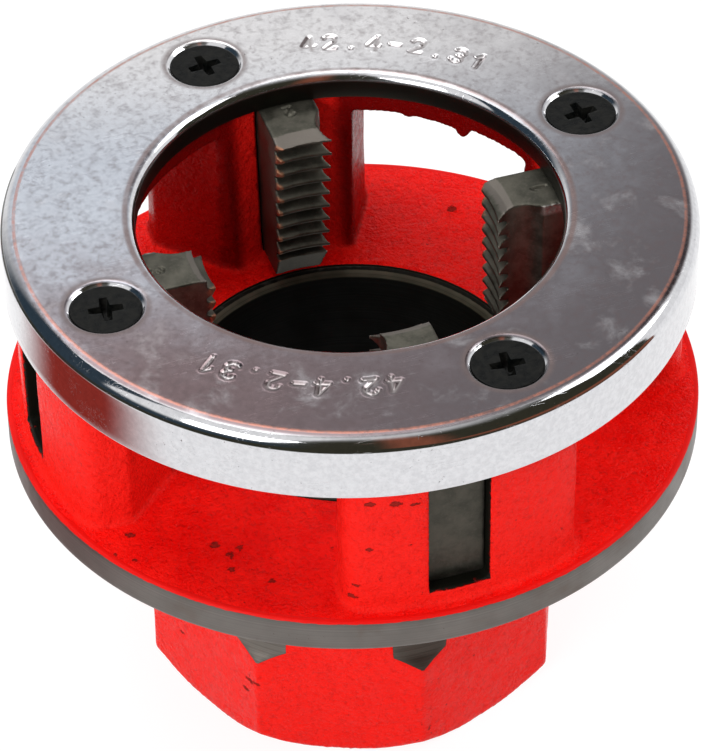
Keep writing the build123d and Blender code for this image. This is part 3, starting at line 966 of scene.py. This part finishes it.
def chaser(number, finish):
    """One chaser with rubbed edges that are also painted lighter as a highlight, its number on top and a
    rough ground back edge.
    """
    name = "chaser_%d" % number
    mesh = skinned(node_mesh(name), CHASER_VOXEL, 1)
    points = points_of(mesh)
    normals = normals_of(mesh)
    along, side = chaser_lines(points, number)
    on_top = (points[:, 2] > RING_TOP - 0.25) & (normals[:, 2] > 0.7) & (along < 28.4)
    u = side[on_top] + 0.6
    v = 27.4 - along[on_top]
    strokes = figure_segments(str(number), 2.0, 2.0, 60 + number)
    points[on_top, 2] += stamped(u, v, strokes, CHASER_STROKE, CHASER_DEPTH)
    cutting = SLOT_OFFSET - CHASER_HALF
    rough = ramp(-side, -(cutting + 0.9), -cutting) * ramp(along, 20.5, 21.5)
    rough *= ramp(points[:, 2], RING_TOP - 1.9, RING_TOP - 0.2)
    bite = 0.5 + noise_at(points, (0.5, 0.7, 20 + number), (0.3, 0.3, 30 + number))
    points -= normals * (rough * np.clip(bite, 0, 1) * 0.28)[:, None]
    points += normals * noise_at(points, (0.012, 0.8, 50 + number))[:, None]
    set_points(mesh, points)
    mesh = thinned(mesh, CHASER_KEPT)
    points = points_of(mesh)
    z = points[:, 2]
    along, side = chaser_lines(points, number)
    torn = ramp(-side, -(cutting + 0.5), -cutting) * ramp(z, RING_TOP - 1.7, RING_TOP - 1.1)
    add_mask(mesh, "broken", torn * ramp(along, 20.5, 21.5) * 0.8)
    from_top = RING_TOP - z
    at_tip = (along < 21.9) & (normals_of(mesh)[:, 2] > 0.6)
    add_mask(mesh, "bevel", at_tip & (from_top < 0.68) & (from_top > 0.02))
    heel_side = SLOT_OFFSET + CHASER_HALF
    at_heel = (side > heel_side - 0.95) & (along < TIP_RADIUS + 1.6)
    at_heel &= side + (TIP_RADIUS + 0.9 - along) > heel_side
    add_mask(mesh, "heel", at_heel * ramp(z, SLOT_FLOOR + 2.5, SLOT_FLOOR + 4.0))
    add_mask(mesh, "edge", edge_mask(mesh, 1))
    finish_piece(name + "_ground", mesh, finish, name, sharp=50)


# --- Screws ---
SCREW_TURNS = (8.0, 8.0, -6.0, -4.0)
RECESS_DEPTH = 1.75


def cross_cutter():
    """Cross recess: four tapering wings that meet in a deeper middle."""
    def ring(reach, half, z):
        inner = half * 1.35
        corners = []
        for quarter in range(4):
            a = radians(90 * quarter)
            for x, y in ((inner, -inner * 0.9), (reach, -half), (reach, half)):
                corners.append((x * cos(a) - y * sin(a), x * sin(a) + y * cos(a), z))
        return corners

    rows = [ring(2.5, 0.62, SCREW_TOP + 0.4), ring(2.25, 0.52, SCREW_TOP - 0.02),
            ring(1.25, 0.36, SCREW_TOP - RECESS_DEPTH * 0.8), ring(0.5, 0.2, SCREW_TOP - RECESS_DEPTH)]
    count = len(rows[0])
    ends = [tuple(range(count - 1, -1, -1)), tuple(range(3 * count, 4 * count))]
    mesh = built("cross", [p for row in rows for p in row], ends + between_rings(4, count))
    return edited(mesh, facing_out)


def cover_screw(number, finish):
    """Countersunk screw with a cross recess, a faintly raised edge and a plain shank."""
    tip = SCREW_TOP - SCREW_LENGTH
    profile = [(0.0, tip), (1.9, tip), (2.4, tip + 0.5)]
    head = ((2.4, 2.37), (4.6, 0.15), (4.65, 0.08), (4.6, 0.03), (4.45, 0.0), (4.2, 0.02), (3.4, 0.01),
            (2.6, 0.0), (1.5, 0.0), (0.0, 0.0))
    profile += [(r, SCREW_TOP - down) for r, down in head]
    rubbed = {"width": 0.06, "segments": 2, "limit_method": "ANGLE", "angle_limit": radians(40)}
    mesh = cut(lathe(profile, 96, closed=False), cross_cutter(), ("BEVEL", rubbed))
    turn = Matrix.Rotation(radians(SCREW_TURNS[number - 1]), 4, "Z")
    mesh.transform(Matrix.Translation(screw_place(number)) @ turn)
    add_mask(mesh, "edge", edge_mask(mesh, 0))
    name = "cover_screw_%d" % number
    finish_piece(name + "_blackened", mesh, finish, name, sharp=40)


# --- Studio ---
CAMERA_PLACE = (-128.2, -404.2, 420.5)
CAMERA_LENS = 200.7
CAMERA_DOWN = 41.56
CAMERA_ROLL = -0.01639


def studio_white(tree):
    """1 for rays that see the background straight, in a mirror or through glass."""
    path = add_node(tree, "LightPath")
    seen = greater(tree, path.outputs["Is Camera Ray"], path.outputs["Is Glossy Ray"])
    return greater(tree, seen, path.outputs["Is Transmission Ray"])


def show_mix(tree, surface, amount, a, b):
    """Shows a surface between two shaders."""
    inputs = {0: amount, 1: a.outputs[0], 2: b.outputs[0]}
    tree.links.new(add_node(tree, "MixShader", inputs).outputs[0], surface)


def set_world():
    world = bpy.data.worlds.new("studio")
    world.use_nodes = True
    tree = world.node_tree
    tree.nodes.clear()
    strength = blend(tree, studio_white(tree), 0.5, 1.0)
    back = add_node(tree, "Background", {"Color": (1, 1, 1, 1), "Strength": strength})
    fill(tree, add_node(tree, "OutputWorld"), {"Surface": back.outputs[0]})
    bpy.context.scene.world = world


def set_floor():
    """Plain pale floor that keeps the object's shadow."""
    mesh = round_sheet("floor", 4.0, 96)
    floor = placed("floor", mesh)
    finish, tree, surface = new_surface("floor_white")
    plain = add_node(tree, "BsdfDiffuse", {"Color": (0.78, 0.78, 0.78, 1)})
    seen = add_node(tree, "BsdfDiffuse", {"Color": (0.20, 0.20, 0.20, 1)})
    glow = add_node(tree, "Emission", {"Color": (1, 1, 1, 1), "Strength": 0.88})
    pale = add_node(tree, "AddShader", {0: seen.outputs[0], 1: glow.outputs[0]})
    show_mix(tree, surface, studio_white(tree), plain, pale)
    mesh.materials.append(finish)


def aimed(place, target):
    """Matrix of something at place that faces target."""
    look = (Vector(target) - Vector(place)).to_track_quat("-Z", "Y").to_matrix().to_4x4()
    return Matrix.Translation(Vector(place)) @ look


def from_view(right, back, up):
    """A place given from the camera's side: to its right, away from it, and up, in metres."""
    a = atan2(TO_RIGHT[0], -TO_RIGHT[1])
    return (back * cos(a) + right * sin(a), back * sin(a) - right * cos(a), up)


def soft_lamp(name, place, size, power):
    """A square lamp aimed at the middle of the head."""
    lamp = bpy.data.lights.new(name, "AREA")
    lamp.size = size
    lamp.energy = power
    placed(name, lamp).matrix_world = aimed(place, (0, 0, 0.045))


def mirror_only(name, mesh, colour, cover):
    """A dull thing in the room that only mirrors see; cover is how solid it is, from 0 to 1."""
    card = placed(name, mesh)
    card.visible_camera = False
    card.visible_diffuse = False
    card.visible_shadow = False
    card.visible_transmission = False
    finish, tree, surface = new_surface(name)
    shade = add_node(tree, "Emission", {"Color": colour(tree), "Strength": 1.0})
    clear = add_node(tree, "BsdfTransparent")
    show_mix(tree, surface, cover(tree), clear, shade)
    mesh.materials.append(finish)
    return card


def room_front():
    """The dark side of the room: the bench beyond the white paper, and the wall behind it."""
    profile = [(0.150, 0.002), (0.30, 0.002), (1.0, 0.002)]
    profile += [(1.0, up) for up in (0.5, 1.0, 2.0, 3.3, 5.0)]
    steps = 64
    points = []
    for along, up in profile:
        for i in range(steps + 1):
            a = radians(-146 + 240 * i / steps)
            points.append(from_view(along * sin(a), -along * cos(a), up))
    faces = []
    for row in range(len(profile) - 1):
        for i in range(steps):
            k = row * (steps + 1) + i
            faces.append((k, k + 1, k + steps + 2, k + steps + 1))
    def colour(tree):
        where = place_on(tree)
        side = towards(tree, where, TO_RIGHT)
        across = remap(tree, side, -0.55, -0.15)
        tone = tint(tree, across, (0.035, 0.055, 0.075), (0.040, 0.038, 0.026))
        glow = band(tree, side, 0.0, (0.10, 0.26), (0.52, 0.34))
        return tint(tree, glow, tone, (0.26, 0.085, 0.050))

    def cover(tree):
        where = place_on(tree)
        side = towards(tree, where, TO_RIGHT)
        front = towards(tree, where, TO_FRONT)
        at_left = times(tree, remap(tree, front, 0.26, 0.06), remap(tree, side, -0.4, -0.6))
        full = blend(tree, at_left, remap(tree, side, -0.50, -0.05, 0.13, 1.05), 1.25)
        soft_top = remap(tree, height_of(tree, where), times(tree, full, 3.6), full)
        left_shift = remap(tree, side, -0.3, -0.7, 0.0, 0.38)
        soft_sides = remap(tree, plus(tree, front, left_shift), -0.45, -0.05)
        near = remap(tree, across_axis(tree, where), 0.150, 0.165)
        return times(tree, times(tree, soft_top, soft_sides), near)

    mirror_only("room_front", built("room_front", points, faces), colour, cover)


def soft_patch(name, place, radius, tone, facing=None):
    """A round dull patch with soft edges, on the bench or facing the head."""
    def cover(tree):
        return remap(tree, vector_calc(tree, "LENGTH", place_on(tree))[1], radius, radius * 0.3)

    card = mirror_only(name, round_sheet(name, radius, 48), lambda tree: (*tone, 1), cover)
    card.matrix_world = aimed(place, facing) if facing else Matrix.Translation(Vector(place))


def set_camera():
    """The camera at its place, looking down at the head and rolled a little."""
    data = bpy.data.cameras.new("camera")
    data.sensor_width = 36.0
    data.lens = CAMERA_LENS
    data.clip_start = 0.01
    data.clip_end = 50.0
    down = radians(CAMERA_DOWN)
    forward = Vector((*(-n * cos(down) for n in TO_FRONT[:2]), -sin(down))).normalized()
    right = forward.cross(Vector((0, 0, 1))).normalized()
    up = right.cross(forward)
    level_right = right * cos(CAMERA_ROLL) + up * sin(CAMERA_ROLL)
    level_up = up * cos(CAMERA_ROLL) - right * sin(CAMERA_ROLL)
    axes = Matrix((level_right, level_up, -forward)).transposed().to_4x4()
    camera = placed("camera", data)
    camera.matrix_world = Matrix.Translation(Vector(CAMERA_PLACE) * MM) @ axes
    bpy.context.scene.camera = camera


# --- Everything in place ---
set_camera()
set_world()
set_floor()
soft_lamp("overhead_lamp", from_view(-0.25, 0.25, 1.0), size=0.8, power=4.6)
soft_lamp("front_left_lamp", from_view(-0.6, -0.85, 0.6), size=0.6, power=6.6)
soft_lamp("right_lamp", from_view(0.85, 0.15, 0.85), size=0.6, power=4.2)
room_front()
soft_patch("back_patch", from_view(0.62, 0.75, 0.85), 0.42, (0.16, 0.12, 0.12), (0, 0, 0.07))
soft_patch("side_patch", from_view(-0.115, -0.012, 0.001), 0.070, (0.31, 0.034, 0.025))
for make_group in (specks_group, scratches_group, turning_group, wear_group):
    make_group()
body_casting(red_paint(), machined_rim(), oily_bore())
cover_plate(worn_chrome())
steel = chaser_steel()
black = black_oxide()
for number in (1, 2, 3, 4):
    chaser(number, steel)
    cover_screw(number, black)
bpy.context.scene.view_settings.view_transform = "Standard"
